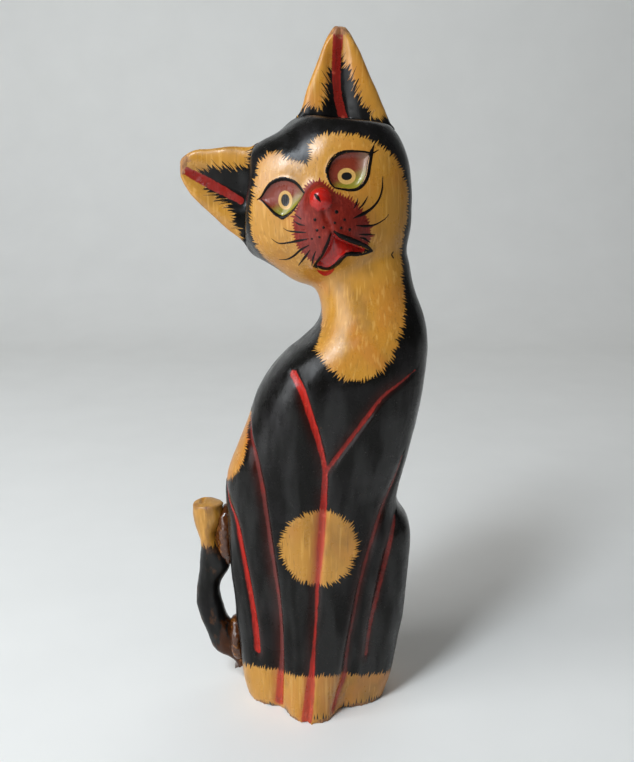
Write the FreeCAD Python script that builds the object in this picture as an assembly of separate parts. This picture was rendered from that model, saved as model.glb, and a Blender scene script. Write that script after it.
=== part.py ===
import FreeCAD, Part

import math
import os

# A tall sitting cat, carved from one block of soft wood, with its head tilted to its right.
# Two ears and a tail are separate pieces of wood, pegged and glued on.
# Millimetres. +Z is up, the cat looks towards -Y, and the origin is the middle of the base.

HEIGHT = 300.0

# The block: height, left edge, right edge, front and back of each ring.
TORSO_RINGS = [
    (0.0, -33.0, 32.4, -16.5, 27.0),
    (7.0, -35.0, 34.2, -17.5, 29.5),
    (20.0, -36.5, 37.2, -18.5, 32.5),
    (40.0, -38.0, 40.2, -19.5, 34.5),
    (62.0, -39.7, 42.3, -20.5, 34.5),
    (78.0, -40.4, 43.0, -21.0, 33.0),
    (86.0, -40.7, 42.9, -21.3, 31.5),
    (90.5, -40.8, 41.2, -21.6, 30.5),
    (94.5, -41.0, 38.4, -22.0, 29.5),
    (100.0, -41.2, 36.2, -22.8, 28.5),
    (108.0, -41.2, 36.8, -24.0, 28.0),
    (121.0, -37.4, 40.0, -26.0, 28.0),
    (140.0, -30.2, 43.9, -28.5, 27.5),
    (156.0, -23.6, 46.6, -29.0, 26.5),
    (170.0, -11.6, 47.6, -27.5, 25.0),
    (180.0, -0.5, 46.8, -25.0, 23.0),
    (189.0, 1.6, 44.2, -22.5, 21.5),
    (199.0, 0.0, 40.8, -20.5, 21.0),
    (212.0, -3.0, 37.4, -17.0, 21.0),
]
TORSO_SQUARENESS = 2.5       # 2 is an ellipse, more is squarer
RING_POINTS = 72

# The two front legs stand out of the block as one prow, widest and deepest at the paws.
LEG_LEFT_FOOT, LEG_LEFT_TOP = -15.5, -23.0
LEG_RIGHT_FOOT, LEG_RIGHT_TOP = 10.5, 29.0
PROW_FOOT, PROW_TOP = 11.0, 0.0
PROW_TOP_HEIGHT = 112.0

# The thighs part from the belly along two slanting hollows.
THIGH_LEFT_FOOT, THIGH_LEFT_TOP = -26.5, -39.5
THIGH_RIGHT_FOOT, THIGH_RIGHT_TOP = 21.0, 35.5
THIGH_HOLLOW_DEPTH = 1.8
THIGH_HOLLOW_WIDTH = 3.6
THIGH_TOP_HEIGHT = 104.0

# Head: its outline from the front, drawn in towards the face and the nape.
HEAD_CENTRE = (4.0, 232.0)
HEAD_OUTLINE = [
    (-20.5, 207.0), (-30.0, 216.5), (-34.0, 231.0), (-32.5, 245.0), (-26.0, 254.5),
    (-16.5, 260.0), (-8.5, 264.5), (2.0, 269.0), (15.0, 269.5), (27.5, 265.0), (35.0, 255.5),
    (38.8, 242.0), (39.4, 226.0), (36.5, 211.0), (26.0, 201.5), (9.0, 197.5), (-9.0, 199.5),
]
HEAD_FRONT, HEAD_BACK = -25.0, 26.0
HEAD_SQUARENESS = 2.3
HEAD_SLICES = 19
HEAD_END_ANGLE = 82.0        # slices run between these latitudes, in degrees

MUZZLE_CENTRE = FreeCAD.Vector(5.0, -15.0, 224.5)
MUZZLE_RADII = (17.5, 15.5, 18.5)
NOSE_CENTRE = FreeCAD.Vector(1.2, -28.0, 235.0)
NOSE_RADII = (5.2, 5.4, 5.2)

# Ears: the two ends of each glued face and the tip, as (x, z) from the front, then how wide
# the tip would be if it were square and how far the two side edges swell.
LEFT_EAR = ((-30.5, 214.5), (-26.0, 255.3), (-56.3, 245.6), 13.4, 0.5, 0.3)
RIGHT_EAR = ((-7.7, 267.0), (30.6, 263.0), (9.2, HEIGHT), 7.6, 0.2, 0.2)
EAR_ROUND_START = 0.78       # the tip is rounded off from here, as a share of the ear
EAR_ROUNDING = 0.9           # 1 would bring the tip to a point
EAR_PLANE = 3.0              # the ears' middle, behind the block's middle
EAR_BASE_THICKNESS, EAR_TIP_THICKNESS = 13.0, 5.0
EAR_VALLEY = 0.42            # depth of the hollow front, as a share of the thickness
EAR_SUNK = 0.12              # how far each ear is lofted past its seat before trimming
EAR_POINTS = 24
SEAT_SIZE = 90.0             # edge of the blocks that saw the flat ear seats

# Tail: (x, z) of the middle and the width, from the flat tip down to the root.
TAIL_STATIONS = [
    (-51.2, 93.2, 14.6), (-51.3, 89.0, 14.2), (-51.9, 81.5, 10.4), (-50.6, 72.5, 9.2),
    (-48.6, 63.5, 15.0), (-51.6, 54.5, 11.0), (-52.4, 46.5, 11.8), (-51.2, 37.5, 12.4),
    (-47.3, 27.8, 13.8), (-41.8, 19.3, 15.0), (-35.0, 10.5, 16.0),
]
TAIL_PLANE = 9.0             # the tail's middle, behind the block's middle
TAIL_THICKNESS = 12.5
TAIL_POINTS = 24

# Glue beads: (x, z) of the middle, half width, half depth and half height.
UPPER_GLUE = (-42.6, 77.5, 5.4, 7.6, 15.5)
LOWER_GLUE = (-38.8, 22.5, 5.2, 8.6, 13.0)

# Pegs: wooden dowels through the joints, each in holes a little wider than itself.
PEG_CLEARANCE = 0.05
EAR_PEG_RADIUS, EAR_PEG_LENGTH = 1.5, 18.0
EAR_PEG_BACK = 2.4           # the ear pegs run behind the ears' hollow fronts
TAIL_PEG_RADIUS, TAIL_PEG_LENGTH = 2.0, 15.0
UPPER_PEG = (-42.5, 64.0)    # (x, z) of the middle
LOWER_PEG = (-38.5, 17.0)


def between(start, end, share):
    """The value a share of the way from start to end."""
    return start + (end - start) * share


def rounded(value, squareness):
    """A cosine or sine drawn out from a circle towards a square."""
    return math.copysign(abs(value) ** (2.0 / squareness), value)


def closed_curve(points):
    """A smooth closed wire through the points, evenly spaced in its parameter."""
    curve = Part.BSplineCurve()
    steps = [float(i) for i in range(len(points) + 1)]
    curve.interpolate(Points=points, PeriodicFlag=True, Parameters=steps)
    return Part.Wire([curve.toShape()])


def loft(rings):
    """A solid through a stack of closed curves."""
    return Part.makeLoft([closed_curve(ring) for ring in rings], True, False)


def circle_angles(count):
    """Evenly spaced angles, starting at the back so that the seam is out of sight."""
    return [math.pi / 2 + 2 * math.pi * i / count for i in range(count)]


def ellipsoid(centre, radii):
    """A ball stretched to three radii."""
    stretch = FreeCAD.Matrix()
    stretch.scale(*radii)
    ball = Part.makeSphere(1.0).transformGeometry(stretch)
    ball.translate(centre)
    return ball


def prow(x, height):
    """How far the front legs stand out of the block at one place."""
    if height >= PROW_TOP_HEIGHT:
        return 0.0
    share = height / PROW_TOP_HEIGHT
    left = between(LEG_LEFT_FOOT, LEG_LEFT_TOP, share)
    right = between(LEG_RIGHT_FOOT, LEG_RIGHT_TOP, share)
    across = (2 * x - left - right) / (right - left)
    if abs(across) >= 1.0:
        return 0.0
    depth = between(PROW_FOOT, PROW_TOP, share ** 0.6)
    return depth * (1.0 - abs(across) ** 2.6) ** 0.9


def thigh_hollow(x, height):
    """Depth of the hollows between belly and thighs at one place."""
    if height >= THIGH_TOP_HEIGHT:
        return 0.0
    share = height / THIGH_TOP_HEIGHT
    fade = min(1.0, 4 * share, 4 * (1.0 - share))
    depth = 0.0
    for foot, top in ((THIGH_LEFT_FOOT, THIGH_LEFT_TOP), (THIGH_RIGHT_FOOT, THIGH_RIGHT_TOP)):
        away = (x - between(foot, top, share)) / THIGH_HOLLOW_WIDTH
        depth += THIGH_HOLLOW_DEPTH * math.exp(-away ** 2)
    return fade * depth


def torso_ring(height, left, right, front, back):
    """The block's outline at one height."""
    middle = (left + right) / 2
    ring = []
    for angle in circle_angles(RING_POINTS):
        x = middle + (right - middle) * rounded(math.cos(angle), TORSO_SQUARENESS)
        swing = rounded(math.sin(angle), TORSO_SQUARENESS)
        if swing > 0:
            y = back * swing
        else:
            y = -front * swing - prow(x, height) * abs(swing) + thigh_hollow(x, height)
        ring.append(FreeCAD.Vector(x, y, height))
    return ring


def head_slice(latitude):
    """The head's outline, drawn in for its place between face and nape."""
    share = math.sin(math.radians(latitude))
    size = (1.0 - abs(share) ** HEAD_SQUARENESS) ** (1.0 / HEAD_SQUARENESS)
    y = -HEAD_FRONT * share if share < 0 else HEAD_BACK * share
    centre_x, centre_z = HEAD_CENTRE
    return [
        FreeCAD.Vector(between(centre_x, x, size), y, between(centre_z, z, size))
        for x, z in HEAD_OUTLINE
    ]


def ear_frame(ear):
    """Middle of the glued face, the direction along it and the direction out of the head."""
    first, last, tip = (FreeCAD.Vector(x, EAR_PLANE, z) for x, z in ear[:3])
    middle = (first + last) * 0.5
    along = (last - first).normalize()
    outward = along.cross(FreeCAD.Vector(0, 1, 0))
    if outward.dot(tip - middle) < 0:
        outward = outward * -1
    return middle, along, outward


def seat_block(ear):
    """The wood that is sawn off the head to give an ear its flat seat."""
    middle, along, outward = ear_frame(ear)
    block = Part.makeBox(SEAT_SIZE, SEAT_SIZE, SEAT_SIZE)
    block.translate(FreeCAD.Vector(-SEAT_SIZE / 2, -SEAT_SIZE / 2, 0))
    turn = FreeCAD.Rotation(FreeCAD.Vector(0, 0, 1), outward)
    block.Placement = FreeCAD.Placement(middle, turn).multiply(block.Placement)
    return block


def ear_ring(ear, share):
    """An ear's outline across, a share of the way from its seat to its tip."""
    first, last, tip = (FreeCAD.Vector(x, EAR_PLANE, z) for x, z in ear[:3])
    tip_width, first_swell, last_swell = ear[3:]
    along = (last - first).normalize()
    half_tip = along * (tip_width / 2)
    swell = 4 * share * (1 - share) if share > 0 else 0.0
    start = between(first, tip - half_tip, share) - along * (first_swell * swell)
    end = between(last, tip + half_tip, share) + along * (last_swell * swell)
    middle = (start + end) * 0.5
    into_tip = max(share - EAR_ROUND_START, 0.0) / (1 - EAR_ROUND_START)
    half_width = (end - start) * (0.5 * math.sqrt(1 - (EAR_ROUNDING * into_tip) ** 2))
    thickness = between(EAR_BASE_THICKNESS, EAR_TIP_THICKNESS, max(share, 0.0))
    ring = []
    for angle in circle_angles(EAR_POINTS):
        across = rounded(math.cos(angle), 2.4)
        y = math.sin(angle) * thickness / 2
        if math.sin(angle) < 0:
            y += EAR_VALLEY * thickness * (1.0 - abs(across))
        ring.append(middle + half_width * across + FreeCAD.Vector(0, y, 0))
    return ring


def raw_ear(ear):
    """An ear, lofted from inside the head to its tip."""
    shares = [-EAR_SUNK, 0.0, 0.25, 0.5, 0.7, 0.8, 0.88, 0.94, 0.98, 1.0]
    return loft([ear_ring(ear, share) for share in shares])


def tail_ring(index):
    """The tail's oval section at one station, square to the tail's run."""
    x, z, width = TAIL_STATIONS[index]
    before = TAIL_STATIONS[max(index - 1, 0)]
    after = TAIL_STATIONS[min(index + 1, len(TAIL_STATIONS) - 1)]
    run = FreeCAD.Vector(after[0] - before[0], 0, after[1] - before[1]).normalize()
    if index == 0:
        run = FreeCAD.Vector(0, 0, -1)
    across = run.cross(FreeCAD.Vector(0, 1, 0))
    middle = FreeCAD.Vector(x, TAIL_PLANE, z)
    deep = FreeCAD.Vector(0, TAIL_THICKNESS / 2, 0)
    return [
        middle + across * (width / 2 * math.cos(angle)) + deep * math.sin(angle)
        for angle in circle_angles(TAIL_POINTS)
    ]


def glue_bead(x, z, half_width, half_depth, half_height):
    """A blob of glue round a joint of the tail, before the wood is taken out of it."""
    centre = FreeCAD.Vector(x, TAIL_PLANE, z)
    return ellipsoid(centre, (half_width, half_depth, half_height))


def peg(place, clearance=0.0):
    """A round peg centred on the joint it crosses, or the hole for it."""
    middle, direction, radius, length = place
    full_length = length + 2 * clearance
    start = middle - direction * (full_length / 2)
    return Part.makeCylinder(radius + clearance, full_length, start, direction)


def peg_places():
    """Middle, direction, radius and length of each peg, by its node name."""
    places = {}
    for name, ear in (("left_ear_peg", LEFT_EAR), ("right_ear_peg", RIGHT_EAR)):
        middle, _, outward = ear_frame(ear)
        middle = middle + FreeCAD.Vector(0, EAR_PEG_BACK, 0)
        places[name] = (middle, outward, EAR_PEG_RADIUS, EAR_PEG_LENGTH)
    level = FreeCAD.Vector(1, 0, 0)
    for name, (x, z) in (("tail_upper_peg", UPPER_PEG), ("tail_lower_peg", LOWER_PEG)):
        middle = FreeCAD.Vector(x, TAIL_PLANE, z)
        places[name] = (middle, level, TAIL_PEG_RADIUS, TAIL_PEG_LENGTH)
    return places


def carved_block():
    """Torso and head in one, with flat seats sawn for the ears."""
    torso = loft([torso_ring(*ring) for ring in TORSO_RINGS])
    step = 2 * HEAD_END_ANGLE / (HEAD_SLICES - 1)
    head = loft([head_slice(i * step - HEAD_END_ANGLE) for i in range(HEAD_SLICES)])
    head = head.cut([seat_block(LEFT_EAR), seat_block(RIGHT_EAR)])
    muzzle = ellipsoid(MUZZLE_CENTRE, MUZZLE_RADII)
    nose = ellipsoid(NOSE_CENTRE, NOSE_RADII)
    return torso.fuse([head, muzzle, nose])


def build():
    """Every piece by its node name."""
    body = carved_block()
    tail = loft([tail_ring(i) for i in range(len(TAIL_STATIONS))]).cut(body)
    wood_and_glue = {
        "body": body,
        "left_ear": raw_ear(LEFT_EAR).cut(body),
        "right_ear": raw_ear(RIGHT_EAR).cut(body),
        "tail": tail,
        "tail_upper_glue": glue_bead(*UPPER_GLUE).cut([body, tail]),
        "tail_lower_glue": glue_bead(*LOWER_GLUE).cut([body, tail]),
    }
    places = peg_places()
    holes = [peg(place, PEG_CLEARANCE) for place in places.values()]
    pieces = {name: shape.cut(holes) for name, shape in wood_and_glue.items()}
    pieces.update({name: peg(place) for name, place in places.items()})
    return pieces


os.makedirs("parts", exist_ok=True)
for node, shape in build().items():
    piece = max(shape.Solids, key=lambda solid: solid.Volume)
    crumbs = shape.Volume - piece.Volume
    print(f"{node}: {piece.Volume:.0f} mm3, {crumbs:.1f} mm3 trimmed, valid {piece.isValid()}")
    piece.exportStep(f"parts/{node}.step")
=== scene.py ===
import math

import bmesh
import bpy
import numpy as np
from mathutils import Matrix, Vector, noise
from mathutils.bvhtree import BVHTree
from mathutils.kdtree import KDTree


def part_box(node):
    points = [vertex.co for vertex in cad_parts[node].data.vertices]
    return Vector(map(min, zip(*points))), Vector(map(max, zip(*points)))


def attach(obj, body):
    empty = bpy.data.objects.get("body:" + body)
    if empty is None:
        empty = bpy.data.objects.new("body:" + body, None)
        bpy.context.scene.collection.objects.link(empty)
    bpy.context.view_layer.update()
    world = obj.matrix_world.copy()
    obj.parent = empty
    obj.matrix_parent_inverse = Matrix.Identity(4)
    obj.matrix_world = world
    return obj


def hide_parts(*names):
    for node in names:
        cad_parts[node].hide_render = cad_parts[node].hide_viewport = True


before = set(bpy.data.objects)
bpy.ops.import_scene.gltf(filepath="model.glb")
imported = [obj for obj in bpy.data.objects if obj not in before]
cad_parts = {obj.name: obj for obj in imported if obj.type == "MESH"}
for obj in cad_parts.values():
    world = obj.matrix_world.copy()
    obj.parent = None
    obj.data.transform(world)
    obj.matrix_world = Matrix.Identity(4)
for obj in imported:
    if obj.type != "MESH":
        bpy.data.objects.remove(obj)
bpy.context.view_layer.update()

MM = 0.001                   # lengths on the figure are in millimetres, the studio's in metres


# ---- mesh helpers

def new_piece(name, mesh):
    """A mesh object in the scene."""
    piece = bpy.data.objects.new(name, mesh)
    bpy.context.scene.collection.objects.link(piece)
    return piece


def applied(piece):
    """The piece with its modifiers applied."""
    graph = bpy.context.evaluated_depsgraph_get()
    mesh = bpy.data.meshes.new_from_object(piece.evaluated_get(graph))
    piece.modifiers.clear()
    piece.data = mesh
    return piece


def carved_copy(node, name, voxel):
    """An even, fine skin over a CAD node, ready to be worked on."""
    piece = new_piece(name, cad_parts[node].data.copy())
    remesh = piece.modifiers.new("even skin", "REMESH")
    remesh.mode = "VOXEL"
    remesh.voxel_size = voxel * MM
    return applied(piece)


def rows_of(items, key, width, kind=float):
    """Numbers read off a mesh's items, a row for each item."""
    values = np.empty(len(items) * width, dtype=kind)
    items.foreach_get(key, values)
    return values.reshape(-1, width)


def points_of(mesh):
    """Vertex places in millimetres."""
    return rows_of(mesh.vertices, "co", 3) / MM


def set_points(mesh, co):
    """Writes vertex places given in millimetres."""
    mesh.vertices.foreach_set("co", (co * MM).ravel())
    mesh.update()


def normals_of(mesh):
    """Vertex normals."""
    return rows_of(mesh.vertices, "normal", 3)


def edges_of(mesh):
    """Pairs of vertex indices."""
    return rows_of(mesh.edges, "vertices", 2, np.int64)


def neighbour_mean(values, pairs):
    """Each vertex's mean over its neighbours, for rows of numbers."""
    count = np.bincount(pairs.ravel(), minlength=len(values))
    mean = np.empty_like(values)
    for axis in range(values.shape[1]):
        column = values[:, axis]
        total = np.bincount(pairs[:, 0], column[pairs[:, 1]], len(values))
        total += np.bincount(pairs[:, 1], column[pairs[:, 0]], len(values))
        mean[:, axis] = total / count
    return mean


def relaxed(co, pairs, rounds, weight):
    """Places pulled towards their neighbours, by a weight per vertex."""
    for _ in range(rounds):
        co = co + (neighbour_mean(co, pairs) - co) * weight[:, None]
    return co


def soften(piece, rounds):
    """Takes the steps out of a remeshed piece, evenly all over."""
    mesh = piece.data
    weight = np.full(len(mesh.vertices), 0.5)
    set_points(mesh, relaxed(points_of(mesh), edges_of(mesh), rounds, weight))


def flat_distance(co, place):
    """Distance from a place in (x, z), as seen from the front."""
    return np.hypot(co[:, 0] - place[0], co[:, 2] - place[-1])


def ramp(value, low, high):
    """0 below low, 1 above high, and smooth between."""
    t = np.clip((value - low) / (high - low), 0.0, 1.0)
    return t * t * (3.0 - 2.0 * t)


def bell(distance, width):
    """1 at no distance, falling off smoothly over a width."""
    return np.exp(-(distance / width) ** 2)


def surface_of(piece):
    """A lookup of the piece's surface, in millimetres."""
    mesh = piece.data
    co = points_of(mesh)
    faces = [tuple(face.vertices) for face in mesh.polygons]
    return BVHTree.FromPolygons([tuple(p) for p in co], faces)


def finer_where(piece, chosen):
    """Quarters the faces whose vertices are all chosen, by a test on the vertex places."""
    mesh = piece.data
    keep = chosen(points_of(mesh))
    work = bmesh.new()
    work.from_mesh(mesh)
    work.verts.ensure_lookup_table()
    cut = [edge for edge in work.edges if keep[edge.verts[0].index] and keep[edge.verts[1].index]]
    bmesh.ops.subdivide_edges(work, edges=cut, cuts=1, use_grid_fill=True, smooth=0.0)
    work.to_mesh(mesh)
    work.free()
    return piece


# ---- curves on the surface

WELL_IN_FRONT = -80.0        # y that drawn lines are thrown from


def smooth_line(knots, closed=False, step=0.35):
    """Evenly dense points along a smooth curve through the knots."""
    knots = [np.array(k, dtype=float) for k in knots]
    count = len(knots)
    spans = count if closed else count - 1
    points = []
    for i in range(spans):
        if closed:
            a, b, c, d = (knots[(i + j) % count] for j in (-1, 0, 1, 2))
        else:
            b, c = knots[i], knots[i + 1]
            a = knots[i - 1] if i > 0 else 2 * b - c
            d = knots[i + 2] if i + 2 < count else 2 * c - b
        pieces = max(2, int(np.linalg.norm(c - b) / step))
        for t in np.arange(pieces) / pieces:
            points.append(0.5 * (2 * b + (c - a) * t + (2 * a - 5 * b + 4 * c - d) * t ** 2
                                 + (3 * b - a - 3 * c + d) * t ** 3))
    if not closed:
        points.append(knots[-1])
    return np.array(points)


def lifted(surface, line):
    """A line drawn as (x, z) from the front, laid on the surface: its points and normals."""
    places, normals = [], []
    for x, z in line:
        hit, normal, _, _ = surface.ray_cast(Vector((x, WELL_IN_FRONT, z)), Vector((0, 1, 0)))
        if hit is not None:
            places.append(hit)
            normals.append(normal)
    return np.array(places), np.array(normals)


class Trace:
    """A line on the surface that distances are measured from."""

    def __init__(self, places, normals, closed=False):
        self.places, self.normals = places, normals
        ahead = np.roll(places, -1, axis=0) - np.roll(places, 1, axis=0)
        if not closed:
            ahead[0] = places[1] - places[0]
            ahead[-1] = places[-1] - places[-2]
        self.along = ahead / np.linalg.norm(ahead, axis=1)[:, None]
        gaps = np.linalg.norm(np.diff(places, axis=0), axis=1)
        self.travel = np.concatenate([[0.0], np.cumsum(gaps)])
        self.length = self.travel[-1]
        self.tree = KDTree(len(places))
        for index, place in enumerate(places):
            self.tree.insert(place, index)
        self.tree.balance()

    def measure(self, co, chosen):
        """Signed distance (negative on the left of a line drawn downwards) and travel."""
        away = np.full(len(co), 99.0)
        travel = np.zeros(len(co))
        for i in np.flatnonzero(chosen):
            _, k, _ = self.tree.find(co[i])
            offset = co[i] - self.places[k]
            forward = self.along[k]
            ahead = float(offset @ forward)
            beyond = 0 < k < len(self.places) - 1
            across = offset - forward * ahead if beyond else offset
            outward = self.normals[k]
            across = across - outward * min(max(float(across @ outward), -2.5), 2.5)
            side = np.cross(outward, forward)
            away[i] = math.copysign(math.sqrt(float(across @ across)), float(offset @ side))
            travel[i] = self.travel[k] + (ahead if beyond else 0.0)
        return away, travel


# ---- the drawing on the cat
# A place with two numbers is (x, z) seen from the front; one with three is (x, y, z).

# Carved and painted lines: places from the top down, half width and depth along them, the side
# whose wall is steep (+1 right, -1 left), and how much the red is dulled: partly faded paint,
# partly painted shade on the right-hand lines and painted sheen on the leg lines.
CREASES = {
    "chest_left": ([(-9.6, 164.5), (-5.8, 158), (-2.7, 148.6), (0.4, 138.7), (3.2, 127),
                    (3.9, 120.5)], (1.7, 1.5, 1.3, 1.1, 0.9), (1.0, 1.8, 1.9), 1, 0.0),
    "chest_right": ([(40.6, 164.6), (34.5, 160.4), (27.4, 155.2), (21.3, 147), (15.4, 138.3),
                     (10.4, 131.2), (5.5, 123.6), (3.9, 120.5)],
                    (0.3, 0.7, 0.9, 0.9, 0.9), (0.2, 1.4, 2.0), 1, 0.4),
    "stem": ([(3.9, 120.5), (3.4, 107.5), (2.2, 88), (0.8, 70), (0, 51.3), (-1.3, 32.5),
              (-2.9, 13.5), (-4.2, 2)],
             (1.1, 1.5, 1.6, 0.9, 0.6, 0.7, 1.7, 2.1), (1.8, 1.8, 1.6, 1.5, 1.5, 1.5, 1.0), 1, 0.15),
    "leg_left": ([(-29.6, 141.5), (-28.3, 134), (-26.2, 127.5), (-24.6, 120.5), (-23, 111.3),
                  (-21.4, 95), (-19, 74), (-17, 55), (-16.3, 35.5), (-16.5, 22.8), (-17.2, 4)],
                 (0.7, 0.9, 0.9, 0.8, 0.7, 0.7, 1.4, 1.9), (0.8, 1.4, 1.6, 1.6, 1.2), 1, 0.8),
    "thigh_left": ([(-41.2, 108.5), (-39.8, 101.4), (-36.8, 93), (-34.2, 77), (-32.2, 65),
                    (-30.3, 52), (-28.9, 39), (-28.4, 29.5)],
                   (0.7, 0.9, 1.3, 1.4, 1.5, 1.6, 1.7, 1.8), (0.7, 1.4, 1.6, 1.6, 1.4), -1, 0.1),
    "leg_right": ([(37, 125), (34.3, 114.3), (29, 100), (25.2, 88.3), (22.2, 76.6), (19.5, 63),
                   (17.3, 49), (15.2, 36), (13.5, 20.6), (11, 12), (8.8, 4)],
                  (0.5, 0.8, 0.8, 0.7, 0.7, 0.8, 1.1, 0.9), (0.4, 1.2, 1.6, 1.6, 1.4, 1.2), 1, 0.75),
    "thigh_right": ([(35.4, 95), (33, 83.8), (30.2, 69.3), (27.6, 57), (25, 43), (23.4, 29)],
                    (0.9, 1.2, 1.1, 1.0, 0.8), (0.8, 1.3, 1.3, 0.8), 1, 0.65),
}

FACE_AND_BIB = [
    (-23.2, -16, 247.2), (-21, -16, 250), (-18.2, -16, 252), (-14.5, -18, 251.2),
    (-10.7, -20, 249.5), (-7, -22, 248), (-4.6, -22.5, 247.3), (-2.8, -22.5, 248.6),
    (-2.4, -22, 251), (-2.8, -20.5, 254), (-2.2, -19.5, 256), (0, -19, 257.6), (3, -19, 258.7),
    (9.3, -19, 259), (16.2, -19, 258), (20.8, -18.5, 256.5), (25, -18, 254.6), (29, -16.5, 251.7),
    (32, -14.5, 247.7), (34.2, -13.5, 243), (36, -12, 238), (36.6, -11.5, 233.4),
    (36.5, -11.5, 228.7), (35.8, -12, 223.6), (34.8, -12.5, 218.4), (34.5, -12, 214),
    (34.6, -12, 209.3), (34.8, -14, 205), (35.5, -15, 201), (36, -17, 196), (35.6, -19.5, 190),
    (35, -21.5, 185), (34, -23.5, 180.5), (32.2, -25.5, 175.5), (29.5, -27, 171),
    (26, -28, 166.8), (21, -28, 163.8), (14.6, -28.5, 163), (8.4, -28, 164.8), (4, -26, 168.6),
    (0, -20, 173.5), (1.2, -15, 179), (1.8, -9, 184), (1, -3, 189), (-2, -1, 195),
    (-8, -2, 200.5), (-14, -5, 205), (-20, -9, 209.5), (-23.8, -12.5, 214), (-26, -13.5, 219),
    (-26.6, -14.5, 222.4), (-26.7, -15.5, 226), (-26, -16.5, 231), (-25.4, -17, 235.5),
    (-24.6, -17, 240), (-23.8, -17, 244.5),
]
BIB_MIDDLE = (18, -28, 190)
BELLY_CENTRE, BELLY_RADIUS = (0.9, 85.8), (16.8, 17.6)
HAUNCH = [
    (-30.6, -4, 139.8), (-30.8, -8.4, 136.8), (-31, -13.8, 132), (-31.6, -15.4, 126.4),
    (-33.6, -14.8, 120.3), (-37.8, -11.3, 113.8), (-40.5, -5, 110.8), (-42, 4, 110), (-42, 12, 114),
    (-38, 16, 122), (-34, 13, 134), (-30, 4, 141),
]
HAUNCH_MIDDLE = (-41, -2, 125)
BASE_BAND = 12.9             # the band's height; it rises to the front and to the left

LEFT_EYE = ([(-23, 234.2), (-20, 238.1), (-17.2, 240.7), (-13, 242), (-9.2, 241), (-5, 236.6)],
            [(-5, 236.6), (-6.6, 233.8), (-9, 230.8), (-11.7, 228.3), (-14.2, 227.6), (-17, 229.2),
             (-19.7, 231.8), (-23, 234.2)])
RIGHT_EYE = ([(6.5, 239.3), (4.8, 241.8), (4.1, 245.1), (5.2, 248.6), (7.9, 251.2), (12, 252),
              (17.2, 252), (20.4, 251.3)],
             [(20.4, 251.3), (19.6, 247.4), (19, 243.8), (17.6, 240.9), (15.6, 239), (13, 238.5),
              (9.5, 238.9), (6.5, 239.3)])
IRIS = ((-12.4, 234.0), (11.5, 243.1))          # centres, left and right
RING = ((2.75, 3.6), (3.5, 3.05))               # half width and height of the pale ring
PUPIL = ((1.65, 2.35), (2.05, 1.5))

NOSE = (1.5, -29.0, 234.8)
NOSE_RADIUS = 4.5
MUZZLE = [(1.5, 241.4), (-2.7, 240.6), (-5.4, 237.6), (-8.2, 230.4), (-9.4, 226.9), (-9, 222.3),
          (-8.3, 217.5), (-4, 211.8), (-0.4, 210.4), (2.4, 214), (5.5, 217.5), (10, 217.6),
          (15, 216.6), (20, 216.8), (21.2, 219), (21.3, 222), (20.4, 225.7), (18.3, 229.6),
          (12.7, 234.6), (6.9, 237.3)]
UPPER_LIP = [(-0.4, 208.6), (2.3, 212.9), (4.3, 217.4), (6, 221.8), (9, 219.8), (12.8, 217.9),
             (17, 216.2), (20.2, 214.7)]
LOWER_LIP = [(20.2, 214.7), (16.3, 213.2), (12, 213.2), (9.2, 211.6), (7, 209), (4.2, 207.6),
             (1.5, 207.6), (-0.4, 208.6)]
LIP_CREASE = [(2.4, 230.5), (4.5, 226), (6, 222)]

# Brush strokes in black: places and half widths along them.
LASHES = [
    ([(-23.6, 234.0), (-21.8, 235.3), (-20.1, 238.1), (-17.5, 240.7), (-13.4, 242.1),
      (-9.8, 241.4), (-7.1, 239.4), (-4.9, 236.8)], (0.2, 0.55, 0.85, 1.05, 1.2, 1.05, 0.8, 0.45)),
    ([(-4.9, 236.8), (-6.8, 233.8), (-8.9, 230.9), (-11.7, 228.3), (-14.1, 227.5), (-17, 229.2),
      (-19.7, 231.9), (-22, 234.1)], (0.35, 0.5, 0.8, 1.1, 1.1, 0.85, 0.6, 0.35)),
    ([(6.5, 239.1), (4.8, 241.7), (4.1, 245.1), (5.2, 248.6), (7.9, 251.2), (12, 252.3),
      (17.5, 252.3), (21.3, 251.8), (23.9, 253)], (0.6, 1.0, 1.3, 1.25, 1.1, 0.75, 0.5, 0.5, 0.12)),
    ([(22.2, 255), (21, 251.6), (20, 247.4), (19.4, 243.6), (18, 240.6), (15.8, 238.6),
      (13, 238), (9.5, 238.4), (6.5, 239)], (0.15, 1.0, 1.35, 1.4, 1.3, 1.0, 0.7, 0.55, 0.5)),
]
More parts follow.
